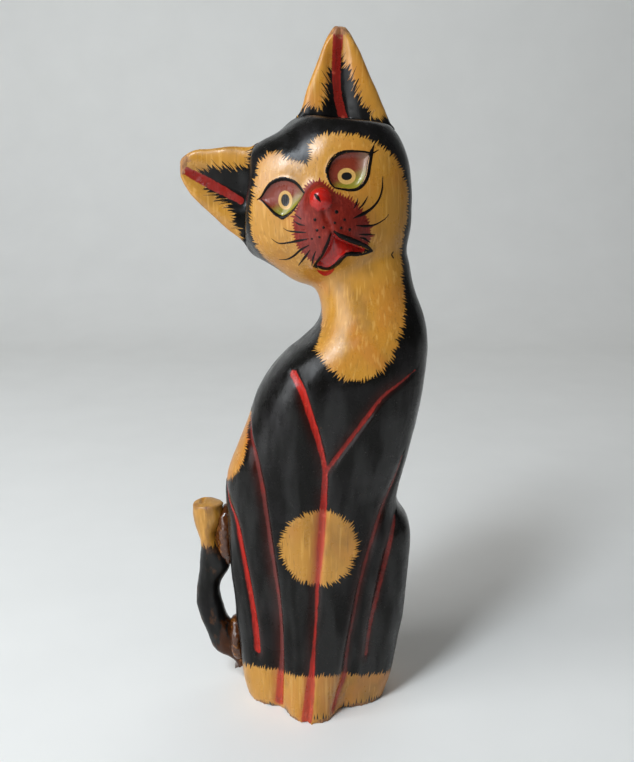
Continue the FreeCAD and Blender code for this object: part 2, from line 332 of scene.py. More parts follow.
WHISKERS = [
    ([(13.9, 227.4), (18, 229), (21.4, 231), (24, 234), (25.4, 238), (25.6, 243)],
     (0.15, 0.8, 0.6, 0.5, 0.45, 0.1)),
    ([(15, 224.7), (19.6, 224.2), (23.4, 224.8), (26.8, 226.7), (28.3, 228.4)],
     (0.15, 0.6, 0.45, 0.25, 0.08)),
    ([(16.2, 221.2), (19.2, 220.9), (22.9, 220.7)], (0.15, 0.5, 0.1)),
    ([(16.6, 219.9), (18.8, 219.2), (21.1, 217.5)], (0.15, 0.55, 0.12)),
    ([(14.1, 231.1), (15.3, 233), (15.8, 235)], (0.15, 0.45, 0.1)),
    ([(16, 230.5), (18.2, 233), (19.8, 235.6)], (0.15, 0.5, 0.1)),
    ([(-6.1, 227), (-8.8, 228.8)], (0.4, 0.1)),
    ([(-4.7, 224.7), (-7.1, 225.1), (-9.3, 226.4)], (0.15, 0.5, 0.1)),
    ([(-4.2, 222), (-8.1, 222), (-11.4, 222.3), (-13.3, 223.3)], (0.15, 0.5, 0.35, 0.08)),
    ([(-3.3, 219.6), (-7.2, 218.6), (-11.5, 217.5), (-15.3, 217.2), (-18.2, 218.9)],
     (0.15, 0.6, 0.5, 0.35, 0.08)),
    ([(-3.1, 217.1), (-6.3, 215), (-9.2, 212.2), (-12.1, 210.5), (-15.4, 210.2)],
     (0.15, 0.55, 0.5, 0.4, 0.08)),
    ([(-2.7, 215.2), (-4.9, 211.8), (-7.5, 208)], (0.15, 0.6, 0.15)),
    ([(-0.5, 214.8), (-1.6, 211.6), (-2.1, 208.4)], (0.15, 0.55, 0.15)),
]
LIP_LINES = [
    ([(5.3, 221.8), (4, 217.2), (2.2, 213), (-0.4, 209.3), (-1.3, 207.8)],
     (0.4, 1.2, 1.3, 1.0, 0.4)),
    ([(6.4, 222.8), (8.9, 220.9), (12.6, 219.3), (16.9, 217.4), (20, 215.8), (22, 214.1)],
     (0.5, 1.4, 1.45, 1.3, 1.1, 0.5)),
    ([(22.2, 214.2), (20, 213.8), (17.1, 213.2), (12.3, 213.4), (9.8, 211.7), (7.5, 208.9),
      (4.3, 207), (-0.8, 207.9)], (0.5, 1.3, 1.5, 1.35, 1.4, 1.35, 1.3, 0.9)),
    ([(30.9, 213.4), (30.2, 212.1), (31.1, 210.7)], (0.3, 0.45, 0.3)),
    ([(-0.9, 236.7), (0.2, 235.4), (1.3, 233.9)], (0.4, 0.9, 0.2)),
]
DOTS = [(7.5, 230, 0.8), (10.6, 227, 0.6), (6.8, 225.9, 0.55), (9.3, 223.9, 0.6),
        (12.6, 223.2, 0.65), (2.5, 224.1, 0.6), (-0.8, 227, 0.7), (0, 223, 0.65),
        (0.9, 220.4, 0.55), (-2, 219.6, 0.5)]
LIP_TIP = [(-0.2, 206.6), (3.4, 205.8), (7, 207.4), (6, 205), (3.4, 203.6), (1, 204.8)]


# ---- sculpting the body

BODY_VOXEL = 1.25
# The ears' lower corners, as (x, z), and the height of the filler there.
EAR_CORNERS = {"left_ear": (-27, 213, 2.6), "right_ear": (-8, 262, 1.9)}


def smooth_carving(piece):
    """Takes the steps out of the remeshed body, and runs the head into the neck."""
    mesh = piece.data
    pairs = edges_of(mesh)
    co = points_of(mesh)
    height = co[:, 2]
    base = ramp(height, 0.5, 3.0)
    co = relaxed(co, pairs, 3, 0.5 * base)
    jaw = ramp(height, 190, 196) * (1 - ramp(height, 216, 224))
    face = ramp(height, 200, 206) * (1 - ramp(height, 246, 252)) * (1 - ramp(co[:, 1], -14, -8))
    co = relaxed(co, pairs, 26, 0.55 * np.maximum(jaw, face) * base)
    set_points(mesh, co)
    return piece


def knife_marks(piece, sizes):
    """Low, uneven waves left by the knife and sanding: (spacing, height) in millimetres."""
    co = points_of(piece.data)
    normals = normals_of(piece.data)
    for spacing, height in sizes:
        wave = np.array([noise.noise(Vector(p) / spacing) for p in co])
        wave *= ramp(co[:, 2], 0.5, 4.0)
        co += normals * (height * wave)[:, None]
    set_points(piece.data, co)


def along(values, trace, travel):
    """Values spread evenly along a trace, read at each travel."""
    return np.interp(travel / trace.length, np.linspace(0, 1, len(values)), values)


def segment_gap(co, start, end):
    """In (x, z): how far along a segment each place is (0 to 1), and its distance to it."""
    step = end - start
    x, z = co[:, 0] - start[0], co[:, 2] - start[1]
    share = np.clip((x * step[0] + z * step[1]) / (step @ step), 0, 1)
    return share, np.hypot(x - share * step[0], z - share * step[1])


def line_distance(co, line):
    """Distance in (x, z) to an open line."""
    gaps = (segment_gap(co, start, end)[1] for start, end in zip(line[:-1], line[1:]))
    return np.minimum.reduce(list(gaps))


def inside_outline(co, outline):
    """Distance in (x, z) to a closed outline, positive inside, and the travel along it."""
    x, z = co[:, 0], co[:, 2]
    nearest = np.full(len(co), 1e9)
    travel = np.zeros(len(co))
    inside = np.zeros(len(co), dtype=bool)
    run = 0.0
    for start, end in zip(outline, np.roll(outline, -1, axis=0)):
        step = end - start
        length = math.hypot(*step)
        if length < 1e-6:
            continue
        share, gap = segment_gap(co, start, end)
        closer = gap < nearest
        nearest[closer] = gap[closer]
        travel[closer] = run + share[closer] * length
        crosses = (start[1] > z) != (end[1] > z)
        rise = step[1] if abs(step[1]) > 1e-9 else 1e-9
        inside ^= crosses & (x < start[0] + step[0] * (z - start[1]) / rise)
        run += length
    return np.where(inside, nearest, -nearest), travel


def depth_in(co, *outlines):
    """Distance in (x, z) into the deepest of some outlines, negative outside them all."""
    return np.maximum.reduce([inside_outline(co, outline)[0] for outline in outlines])


def joined(*lines):
    """Smooth lines, corner to corner, as one closed outline."""
    return np.vstack([smooth_line(line, step=0.5)[:-1] for line in lines])


LEFT_EYE_EDGE, RIGHT_EYE_EDGE = joined(*LEFT_EYE), joined(*RIGHT_EYE)
MOUTH_EDGE = joined(UPPER_LIP, LOWER_LIP)
MUZZLE_EDGE = smooth_line(MUZZLE, closed=True, step=1.0)


def near(co, places, reach):
    """Which vertices lie inside the places' box, grown by a reach."""
    low, high = places.min(axis=0) - reach, places.max(axis=0) + reach
    return ((co > low) & (co < high)).all(axis=1)


def in_front(co, low, high, left=-34.0, right=42.0):
    """Which vertices are on the front half of the body, between two heights and two sides."""
    x, y, z = co.T
    return (y < 2) & (z > low) & (z < high) & (x > left) & (x < right)


def crease_traces(surface):
    """The carved lines, laid on the body."""
    traces = {}
    for name, (line, *_) in CREASES.items():
        traces[name] = Trace(*lifted(surface, smooth_line(line)))
    return traces


def close_to_lines(co, traces, reach):
    """Which vertices are within reach of a carved line."""
    close = np.zeros(len(co), dtype=bool)
    for trace in traces.values():
        for i in np.flatnonzero(near(co, trace.places, reach) & ~close):
            close[i] = trace.tree.find(co[i])[2] < reach
    return close


def close_to_features(co):
    """Which vertices belong to the eyes, nose and mouth."""
    picked = in_front(co, 203, 256, -27, 27)
    close = np.zeros(len(co), dtype=bool)
    close[picked] = depth_in(co[picked], LEFT_EYE_EDGE, RIGHT_EYE_EDGE, MOUTH_EDGE) > -1.6
    nose = np.linalg.norm(co - np.array(NOSE), axis=1)
    return close | (picked & (nose < NOSE_RADIUS + 2))


def carve_creases(piece, traces):
    """Cuts the lines: a gentle slope on one side and a steep wall on the other."""
    mesh = piece.data
    co, normals = points_of(mesh), normals_of(mesh)
    cut = np.zeros(len(co))
    for name, (_, _, depths, steep, _) in CREASES.items():
        trace = traces[name]
        away, travel = trace.measure(co, near(co, trace.places, 9.0))
        left_width, right_width = (3.2, 1.2) if steep > 0 else (1.2, 3.2)
        width = np.where(away < 0, left_width, right_width)
        depth = along(depths, trace, travel) * bell(away, width)
        cut = np.maximum(cut, np.where(np.abs(away) < 9, depth, 0))
    co -= normals * cut[:, None]
    set_points(mesh, co)


def carve_face(piece):
    """Hollows the eyes and the mouth, and raises the nose and the lip pads."""
    mesh = piece.data
    co, normals = points_of(mesh), normals_of(mesh)
    picked = np.flatnonzero(in_front(co, 200, 258, -28, 28))
    here = co[picked]
    move = np.zeros(len(here))
    for edge, eye_depth in ((LEFT_EYE_EDGE, 1.7), (RIGHT_EYE_EDGE, 1.9)):
        inner = depth_in(here, edge)
        move -= eye_depth * (1 - np.exp(-np.maximum(inner, 0) / 1.1))
        move += 0.18 * bell(inner + 0.5, 0.7)
    inner = depth_in(here, MOUTH_EDGE)
    from_upper, from_lower, groove = (line_distance(here, smooth_line(line, step=0.6))
                                      for line in (UPPER_LIP, LOWER_LIP, LIP_CREASE))
    slope = from_lower / (from_upper + from_lower + 1e-6)
    move -= ramp(inner, 0, 1.1) * (0.5 + 3.6 * slope)
    move += 0.55 * bell(from_upper - 1.2, 1.3) * (inner < 0)
    move -= 0.6 * bell(groove, 1.0)
    ball = np.linalg.norm(here - np.array(NOSE), axis=1)
    flat = flat_distance(here, NOSE)
    move += 0.5 * np.sqrt(np.clip(1 - (flat / NOSE_RADIUS) ** 2, 0, 1)) * (ball < 9)
    co[picked] += normals[picked] * move[:, None]
    set_points(mesh, co)


def fill_ear_corners(piece):
    """Filler smeared over the seats of the ears, up to the ears' lower corners."""
    mesh = piece.data
    co, normals = points_of(mesh), normals_of(mesh)
    for name, (x, z, height) in EAR_CORNERS.items():
        low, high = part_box(name)
        corner = np.array((x, (low[1] + high[1]) / 2 / MM, z))
        gap = np.linalg.norm(co - corner, axis=1)
        co += normals * (height * bell(gap, 6.5))[:, None]
    set_points(mesh, co)


def sculpted_body():
    """The carved block, with its lines and face cut in, and the traces of the lines."""
    piece = smooth_carving(carved_copy("body", "body_carving", BODY_VOXEL))
    knife_marks(piece, ((16.0, 0.5), (6.0, 0.12)))
    fill_ear_corners(piece)
    traces = crease_traces(surface_of(piece))
    finer_where(piece, lambda co: close_to_lines(co, traces, 4.5) | in_front(co, 200, 260))
    finer_where(piece, close_to_features)
    mesh = piece.data
    fine = in_front(points_of(mesh), 200, 262) | close_to_lines(points_of(mesh), traces, 5.0)
    set_points(mesh, relaxed(points_of(mesh), edges_of(mesh), 3, 0.5 * fine))
    carve_creases(piece, traces)
    carve_face(piece)
    return piece, traces


# ---- paint layout, kept on the mesh

FAR = 14.0                   # paint distances are kept up to here


def bounded(distance):
    """A paint distance, held within FAR either way."""
    return np.clip(distance, -FAR, FAR)


def keep_numbers(mesh, **rows):
    """Numbers per vertex for the materials to read, each row under its name."""
    for name, values in rows.items():
        layer = mesh.attributes.new(name, "FLOAT", "POINT")
        layer.data.foreach_set("value", np.asarray(values, dtype=np.float32))


def snapped(surface, knots):
    """A smooth closed line through places in space, laid on the nearest surface."""
    places, normals = [], []
    for point in smooth_line(knots, closed=True):
        hit, normal, _, _ = surface.find_nearest(Vector(point))
        places.append(hit)
        normals.append(normal)
    return Trace(np.array(places), np.array(normals), closed=True)


def patch(mesh, co, outline, seed):
    """Distance into a painted patch (positive inside) and the travel along its outline."""
    away, travel = outline.measure(co, near(co, outline.places, FAR))
    edge = (np.abs(away) < 2.5) & (away > 0)
    links = [[] for _ in range(len(co))]
    for a, b in edges_of(mesh):
        links[a].append(b)
        links[b].append(a)
    start = int(np.argmin(np.linalg.norm(co - np.array(seed), axis=1)))
    inside = np.zeros(len(co), dtype=bool)
    inside[start] = True
    waiting = [start]
    while waiting:
        for other in links[waiting.pop()]:
            if not inside[other] and not edge[other]:
                inside[other] = True
                waiting.append(other)
    size = np.minimum(np.abs(away), FAR)
    return np.where(inside, size, -size), travel


def roundness(piece):
    """How sharply the surface bulges, 0 on flats and 1 on worn edges."""
    mesh = piece.data
    pairs = edges_of(mesh)
    co = points_of(mesh)
    bulge = -((neighbour_mean(co, pairs) - co) * normals_of(mesh)).sum(axis=1)[:, None]
    for _ in range(4):
        bulge = neighbour_mean(bulge, pairs)
    return np.clip(bulge[:, 0] / 0.06, 0, 1)


def lay_out_ochre(piece):
    """Keeps the distance into the ochre patches, and the travel that spaces their spikes."""
    mesh = piece.data
    co = points_of(mesh)
    surface = surface_of(piece)
    ochre, run = patch(mesh, co, snapped(surface, FACE_AND_BIB), BIB_MIDDLE)
    haunch, haunch_run = patch(mesh, co, snapped(surface, HAUNCH), HAUNCH_MIDDLE)

    across, up = co[:, 0] - BELLY_CENTRE[0], co[:, 2] - BELLY_CENTRE[1]
    belly = 1 - np.hypot(across / BELLY_RADIUS[0], up / BELLY_RADIUS[1])
    belly = np.where(co[:, 1] < -5, belly * BELLY_RADIUS[0], -FAR)
    belly_run = np.arctan2(up, across) * BELLY_RADIUS[0]

    band_top = BASE_BAND - 0.06 * co[:, 0] - 0.42 * np.minimum(co[:, 1], 0)
    band = band_top - co[:, 2] + 0.5 * np.sin(co[:, 0] / 5.0)
    band_run = np.arctan2(co[:, 1] - 7, co[:, 0]) * 32

    for depth, own_run in ((haunch, haunch_run), (belly, belly_run), (band, band_run)):
        run = np.where(depth > ochre, own_run, run)
        ochre = np.maximum(ochre, depth)
    keep_numbers(mesh, ochre=bounded(ochre), ochre_run=run)


def lay_out_lines(mesh, traces):
    """Keeps the distance to the red lines' edges, the blush beside them and their dullness, which is
    partly painted shade and sheen.
    """
    co = points_of(mesh)
    crease, dull, blush = np.full(len(co), FAR), np.zeros(len(co)), np.zeros(len(co))
    for name, (_, half_widths, _, steep, dullness) in CREASES.items():
        trace = traces[name]
        away, travel = trace.measure(co, near(co, trace.places, FAR))
        away = away + 0.5 * steep
        own = np.abs(away) - along(half_widths, trace, travel)
        dull = np.where(own < crease, dullness, dull)
        crease = np.minimum(crease, own)
        width = np.where(away * steep < 0, 2.8, 1.3)
        own_blush = ramp(travel, 0, 12) * bell(away, width) * (np.abs(away) < 12)
        blush = np.maximum(blush, own_blush)
    keep_numbers(mesh, crease=crease, blush=blush, dull=dull)


def lay_out_face(mesh):
    """Keeps the distances into the muzzle, eyes, mouth and nose."""
    co = points_of(mesh)
    muzzle, eyes, mouth = np.full((3, len(co)), -FAR)
    muzzle_run = np.zeros(len(co))
    face = np.flatnonzero(in_front(co, 198, 260))
    muzzle[face], muzzle_run[face] = inside_outline(co[face], MUZZLE_EDGE)
    eyes[face] = depth_in(co[face], LEFT_EYE_EDGE, RIGHT_EYE_EDGE)
    mouth[face] = depth_in(co[face], MOUTH_EDGE, joined(LIP_TIP + LIP_TIP[:1]))
    nose = np.where(co[:, 1] < -26, NOSE_RADIUS - 0.2 - flat_distance(co, NOSE), -FAR)
    keep_numbers(mesh, muzzle=bounded(muzzle), muzzle_run=muzzle_run, eye=bounded(eyes),
                 mouth=bounded(mouth), nose=bounded(nose))


def lay_out_body_paint(piece, traces):
    """Keeps every distance that the body's paint is drawn from."""
    lay_out_ochre(piece)
    lay_out_lines(piece.data, traces)
    lay_out_face(piece.data)
    height = points_of(piece.data)[:, 2]
    keep_numbers(piece.data, wear=roundness(piece) * (1 - ramp(height, 195, 205)))


# ---- materials

# Colours as display values, 0 to 255.
BLACK = (14, 13, 11)
BLACK_CLOUD = (24, 22, 22)
DUST = (96, 92, 86)
INK = (12, 9, 8)
INK_PALE = (34, 24, 20)
OCHRE = (186, 131, 46)
OCHRE_DARK = (138, 96, 30)
OCHRE_ORANGE = (184, 116, 40)
OCHRE_STREAK = (128, 88, 34)
OCHRE_PALE = (228, 178, 98)
RED = (184, 38, 28)
RED_PALE = (214, 96, 72)
DARK_RED = (78, 22, 10)
# The dulled red below carries painted shade and painted sheen as well as fading.
DULL_RED_AND_SHADE = (104, 44, 40)
EAR_RED = (138, 26, 16)
ORANGE_RED = (176, 52, 24)
BRICK = (112, 28, 18)
BRICK_PALE = (140, 46, 34)
NOSE_RED = (176, 24, 14)
EYE_TOP = (122, 46, 28)
EYE_LOW = (130, 122, 34)
# The eye haze colour below is a painted highlight in the glossy eyes.
EYE_PAINTED_HIGHLIGHT = (150, 140, 116)
RING_PAINT = (200, 156, 86)
BARE_WOOD = (168, 118, 70)
OLD_WOOD = (112, 72, 42)
GLUE_BROWN = (74, 38, 14)
GLUE_AMBER = (176, 112, 44)
GLUE_SPECK = (38, 22, 12)
SHARP = (-0.08, 0.08)        # the blur across a painted edge, in millimetres


def linear(colour):
    """A colour as the shader wants it, from its display values."""
    shares = [((v / 255 + 0.055) / 1.055) ** 2.4 if v > 10 else v / 255 / 12.92 for v in colour]
    return (*shares, 1.0)


class Value:
    """A number that a material's nodes work out; arithmetic on it adds nodes."""

    def __init__(self, paint, socket):
        self.paint, self.socket = paint, socket

    def __add__(self, other):
        return self.paint.maths("ADD", self, other)

    def __sub__(self, other):
        return self.paint.maths("SUBTRACT", self, other)

    def __rsub__(self, other):
        return self.paint.maths("SUBTRACT", other, self)

    def __mul__(self, other):
        return self.paint.maths("MULTIPLY", self, other)

    def __truediv__(self, other):
        return self.paint.maths("DIVIDE", self, other)


class Paint:
    """A material built from nodes, with places in millimetres on the object."""

    def __init__(self, name):
        self.material = bpy.data.materials.new(name)
        self.material.use_nodes = True
        tree = self.material.node_tree
        self.nodes, self.links = tree.nodes, tree.links
        self.nodes.clear()
        self.shader = self.node("BsdfPrincipled")
        self.node("OutputMaterial", {"Surface": self.shader.outputs[0]})
        source = self.node("TexCoord").outputs["Object"]
        self.place = self.node("VectorMath", {0: source, "Scale": 1 / MM}, operation="SCALE").outputs[0]

    def put(self, socket, value):
        """Links a value or a colour to a socket, or sets a plain one."""
        if isinstance(value, Value):
            value = value.socket
        if isinstance(value, bpy.types.NodeSocket):
            self.links.new(value, socket)
        else:
            socket.default_value = value

    def node(self, kind, inputs=None, **settings):
        """A node with its settings made and its inputs linked or set."""
        node = self.nodes.new("ShaderNode" + kind)
        for name, value in settings.items():
            setattr(node, name, value)
        for name, value in (inputs or {}).items():
            self.put(node.inputs[name], value)
        return node

    def maths(self, operation, *values):
        """One maths node."""
        node = self.node("Math", dict(enumerate(values)), operation=operation)
        return Value(self, node.outputs[0])

    def most(self, first, *others):
        """The largest of several values."""
        for other in others:
            first = self.maths("MAXIMUM", first, other)
        return first

    def kept(self, name):
        """A number kept on the mesh."""
        return Value(self, self.node("Attribute", attribute_name=name).outputs["Fac"])

    def across_and_up(self):
        """X and Z of the place."""
        split = self.node("SeparateXYZ", {0: self.place}).outputs
        return Value(self, split["X"]), Value(self, split["Z"])

    def noise(self, size, tall=1, detail=3.0, roughness=0.55, distortion=0.0):
        """Noise with features of a size in millimetres, drawn out upwards by a factor."""
        scale = (1 / size, 1 / size, 1 / (size * tall))
        place = self.node("Mapping", {"Vector": self.place, "Scale": scale}).outputs[0]
        node = self.node("TexNoise", {"Vector": place, "Scale": 1.0, "Detail": detail,
                                      "Roughness": roughness, "Distortion": distortion})
        return Value(self, node.outputs["Fac"])

    def step(self, value, low, high):
        """0 at low and beyond, 1 at high and beyond, smooth between; low may be the larger."""
        ends = (0.0, 1.0) if low <= high else (1.0, 0.0)
        node = self.node("MapRange", {"Value": value, "From Min": min(low, high),
                                      "From Max": max(low, high), "To Min": ends[0],
                                      "To Max": ends[1]}, interpolation_type="SMOOTHSTEP")
        return Value(self, node.outputs["Result"])

    def over(self, under, top, share):
        """One colour laid over another."""
        node = self.node("Mix", {"Factor": share}, data_type="RGBA")
        sockets = [socket for socket in node.inputs if socket.type == "RGBA"]
        for socket, colour in zip(sockets, (under, top)):
            self.put(socket, linear(colour) if isinstance(colour, tuple) else colour)
        return [socket for socket in node.outputs if socket.type == "RGBA"][0]

    def mottled(self, under, top, noise, low, high, strength=1.0):
        """One colour laid over another where a noise runs high."""
        return self.over(under, top, self.step(noise, low, high) * strength)

    def spikes(self, distance, run, width, length, lean, seed):
        """A painted edge broken into brushed spikes; positive inside the patch."""
        tooth_count = run / width + seed + distance * (lean / width)
        number = self.maths("FLOOR", tooth_count)
        chance = self.node("TexWhiteNoise", {"W": number}, noise_dimensions="1D")
        tooth = 1.0 - self.maths("ABSOLUTE", self.maths("FRACT", tooth_count) * 2.0 - 1.0)
        reach = Value(self, chance.outputs["Value"]) * (0.8 * length) + 0.2 * length
        return distance + reach * tooth

    def furry(self, distance, run, length, seed, width=1.5, lean=0.3):
        """Spikes of the patch over the ground, and of the ground over the patch."""
        edge = distance + (self.noise(9.0, detail=1.0) * 1.2 - 0.6)
        coarse = self.spikes(edge, run, width, length, lean, seed)
        fine = self.spikes(edge, run, width * 0.43, length * 0.75, lean * 0.7, seed + 31.7)
        edge = self.most(coarse, fine)
        inward = self.spikes(edge * -1.0, run, width * 1.27, length * 0.9, -lean, seed + 77.3)
        return inward * -1.0 - 0.05 * length

    def finish(self, colour, roughness, height, bump=0.35, coat=0.0, specular=0.5):
        """Joins colour, roughness, shine and bump height to the shader."""
        relief = self.node("Bump", {"Strength": bump, "Distance": 0.3 * MM, "Height": height})
        inputs = {"Base Color": colour, "Roughness": roughness, "Specular IOR Level": specular,
                  "Normal": relief.outputs[0]}
        if coat:
            inputs.update({"Coat Weight": coat, "Coat Roughness": 0.12})
        for name, value in inputs.items():
            self.put(self.shader.inputs[name], value)
        return self.material


def black_paint(paint):
    """Satin black with faint paler clouds and specks of dust."""
    colour = paint.mottled(BLACK, BLACK_CLOUD, paint.noise(14.0), 0.4, 0.7)
    return paint.mottled(colour, DUST, paint.noise(0.9, detail=1.0), 0.74, 0.8, 0.35)


def ochre_paint(paint):
    """Yellow ochre brushed on by hand: darker and warmer clouds, dark and pale streaks."""
    cloud = paint.noise(17.0, 1.6, detail=4.0)
    colour = paint.mottled(OCHRE, OCHRE_DARK, cloud, 0.5, 0.72, 0.75)
    warm = paint.noise(23.0, 1.4, detail=2.0, distortion=0.6)
    colour = paint.mottled(colour, OCHRE_ORANGE, warm, 0.45, 0.7, 0.7)
    streak = paint.noise(0.8, 16, detail=2.0)
    colour = paint.mottled(colour, OCHRE_STREAK, streak, 0.56, 0.74, 0.38)
    return paint.mottled(colour, OCHRE_PALE, paint.noise(1.1, 22, detail=1.0), 0.56, 0.7, 0.3)


def red_paint(paint, fresh=RED):
    """Brushed red, uneven in depth."""
    streak = paint.noise(0.7, 12, detail=2.0)
    colour = paint.mottled(fresh, DARK_RED, streak, 0.45, 0.75, 0.55)
    return paint.mottled(colour, RED_PALE, paint.noise(3.0, detail=4.0), 0.62, 0.72, 0.4)


def wood(paint):
    """Pale, soft wood with grain along its length."""
    return paint.mottled(BARE_WOOD, OLD_WOOD, paint.noise(0.9, 18, detail=4.0), 0.35, 0.7)


def surface_grain(paint, relief=1.0):
    """Height of the brush marks and of the wood's pores under the paint."""
    brush = paint.noise(0.5, 9, detail=2.0)
    pores = paint.noise(1.7, 2.5)
    return brush * (0.3 * relief) + pores * (0.55 * relief)


def gloss(paint, low, high):
    """Roughness of a satin varnish, uneven in its shine."""
    return paint.step(paint.noise(7.0, detail=4.0), 0.3, 0.7) * (high - low) + low


def varnish(paint, lively):
    """How strongly the surface reflects: weak on the black, in vertical clouds, more elsewhere."""
    cloud = paint.step(paint.noise(9.0, 5, detail=2.0), 0.4, 0.65)
    return cloud * 0.22 + 0.16 + lively * 0.32


def oval(paint, x, z, centre, halves):
    """1 on an oval's edge, less inside."""
    across = (x - centre[0]) / halves[0]
    up = (z - centre[1]) / halves[1]
    return paint.maths("SQRT", across * across + up * up)


def eye_paint(paint, x, z):
    """Red-brown above, olive below, with a pale ring, a black pupil and a painted highlight right of
    each iris.
    """
    (left_x, left_z), (right_x, right_z) = IRIS
    on_left = paint.step(x, 0.2, -0.2)
    up = z - (on_left * (left_z - right_z) + right_z)
    across = x - (on_left * (left_x - right_x) + right_x)
    slant = up - across * 0.5 + (paint.noise(2.0) * 2.4 - 1.2)
    colour = paint.over(EYE_TOP, EYE_LOW, paint.step(slant, 1.2, -3.6))
    # Painted highlight: a pale haze right of each iris, from a little below its middle upwards.
    painted_highlight = paint.step(across, 2.5, 7.5) * paint.step(up, -3.0, 1.0)
    colour = paint.over(colour, EYE_PAINTED_HIGHLIGHT, painted_highlight * 0.45)
    for centre, ring, pupil in zip(IRIS, RING, PUPIL):
        on_ring = paint.step(oval(paint, x, z, centre, ring), 1.04, 0.97)
        on_pupil = paint.step(oval(paint, x, z, centre, pupil), 1.06, 0.94)
        colour = paint.over(paint.over(colour, RING_PAINT, on_ring), BLACK, on_pupil)
    return colour


def body_material():
    """All the paint on the carved block."""
    paint = Paint("painted_body")
    x, z = paint.across_and_up()
    ochre, run = paint.kept("ochre"), paint.kept("ochre_run")
    on_ochre = paint.step(paint.furry(ochre, run, 2.9, 5.0, width=1.05), *SHARP)
    colour = paint.over(black_paint(paint), ochre_paint(paint), on_ochre)
    scratch = paint.step(paint.noise(0.55, 14, detail=1.0), 0.66, 0.72)
    near_edge = paint.step(ochre, 7.0, 1.0)
    colour = paint.over(colour, BLACK, scratch * near_edge * (on_ochre * 0.5))

    blush = paint.kept("blush") * paint.noise(8.0, 3)
    glow = paint.over(DARK_RED, ORANGE_RED, on_ochre)
    colour = paint.over(colour, glow, blush * (on_ochre + 0.9))
    ragged = paint.noise(1.6, 3) * 0.9 - 0.45
    low_down = paint.step(z, 24.0, 18.0)
    on_line = paint.step(paint.kept("crease") + ragged - low_down * 0.4, 0.3, -0.4)
    line_red = paint.over(red_paint(paint), red_paint(paint, ORANGE_RED), on_ochre)
    # Dulled red: partly faded paint, partly painted shade on the right-hand lines and painted sheen on
    # the leg lines.
    dull = paint.kept("dull") * (1.0 - on_ochre) * (paint.noise(6.0) * 2.0 + 0.3)
    line_red = paint.over(line_red, DULL_RED_AND_SHADE, dull)
    colour = paint.over(colour, line_red, on_line * 0.9)

    muzzle = paint.spikes(paint.kept("muzzle"), paint.kept("muzzle_run"), 1.15, 2.3, 0.1, 3.0)
    on_muzzle = paint.step(muzzle - 0.5, -0.1, 0.1)
    brick = paint.mottled(BRICK, BRICK_PALE, paint.noise(1.0, 2.5, detail=4.0), 0.45, 0.75)
    colour = paint.over(colour, brick, on_muzzle)
    mouth = paint.step(paint.kept("mouth"), -0.15, 0.1)
    colour = paint.over(colour, red_paint(paint, NOSE_RED), mouth)
    eye = paint.step(paint.kept("eye"), -0.1, 0.1)
    colour = paint.over(colour, eye_paint(paint, x, z), eye)
    soft = paint.noise(1.4) * 1.6 - 0.8
    nose = paint.step(paint.kept("nose") + soft, -0.6, 0.6)
    colour = paint.over(colour, NOSE_RED, nose)

    under = paint.step(paint.spikes(0.3 - z, run, 1.3, 5.5, 0.0, 9.0), -0.1, 0.1)
    grouped = paint.step(paint.noise(11.0, detail=1.0), 0.46, 0.54)
    colour = paint.over(colour, BLACK, under * grouped)

    chips = paint.noise(3.4, detail=5.0, roughness=0.7) + paint.kept("wear") * 0.22
    bare = paint.step(chips + paint.step(z, 5.0, 0.5) * 0.12, 0.80, 0.83)
    colour = paint.over(colour, wood(paint), bare)

    height = paint.noise(1.4, 7) * 0.7 + surface_grain(paint)
    for mask, lift in ((on_ochre, 0.25), (on_line, 0.2), (on_muzzle, 0.2), (bare, -0.8)):
        height = height + mask * lift
    glassy = paint.most(nose, mouth, eye * 0.5)
    shine = gloss(paint, 0.2, 0.34) + on_ochre * 0.05 + bare * 0.35 - glassy * 0.08
    lively = paint.most(paint.most(on_ochre, on_muzzle) - on_muzzle * 0.85, glassy)
    return paint.finish(colour, shine, height, bump=0.3, specular=varnish(paint, lively))


def ink_material():
    """Thick black brush strokes."""
    paint = Paint("brushed_black")
    colour = paint.mottled(INK, INK_PALE, paint.noise(0.4), 0.5, 0.75)
    shine = gloss(paint, 0.24, 0.4)
    return paint.finish(colour, shine, surface_grain(paint, 0.6), bump=0.2, specular=0.15)


def peg_material():
    """Bare pegs with glue soaked into them."""
    paint = Paint("bare_peg_wood")
    colour = paint.mottled(wood(paint), GLUE_BROWN, paint.noise(2.5), 0.55, 0.7, 0.6)
    return paint.finish(colour, gloss(paint, 0.55, 0.75), surface_grain(paint, 1.5), bump=0.5)


def glue_material():
    """Brown glue, thick and shiny, amber where it is thin."""
    paint = Paint("brown_glue")
    cloud = paint.noise(2.6, detail=4.0, distortion=0.8)
    colour = paint.mottled(GLUE_BROWN, GLUE_AMBER, cloud, 0.55, 0.75, 0.6)
    colour = paint.mottled(colour, GLUE_SPECK, paint.noise(0.7, detail=2.0), 0.68, 0.74)
    return paint.finish(colour, gloss(paint, 0.1, 0.3), paint.noise(1.6, 2), coat=0.3)


def coat_with(piece, material):
    """Gives a new piece its material, smooth shading, body and slot."""
    piece.data.materials.clear()
    piece.data.materials.append(material)
    piece.data.polygons.foreach_set("use_smooth", [True] * len(piece.data.polygons))
    piece.data.update()
    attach(piece, "root")
    return piece


# ---- brush strokes

# A stroke's section: shares of the half width, and heights over the surface in millimetres.
ACROSS = ((-1.0, -0.06), (-0.7, 0.07), (0.0, 0.12), (0.7, 0.07), (1.0, -0.06))


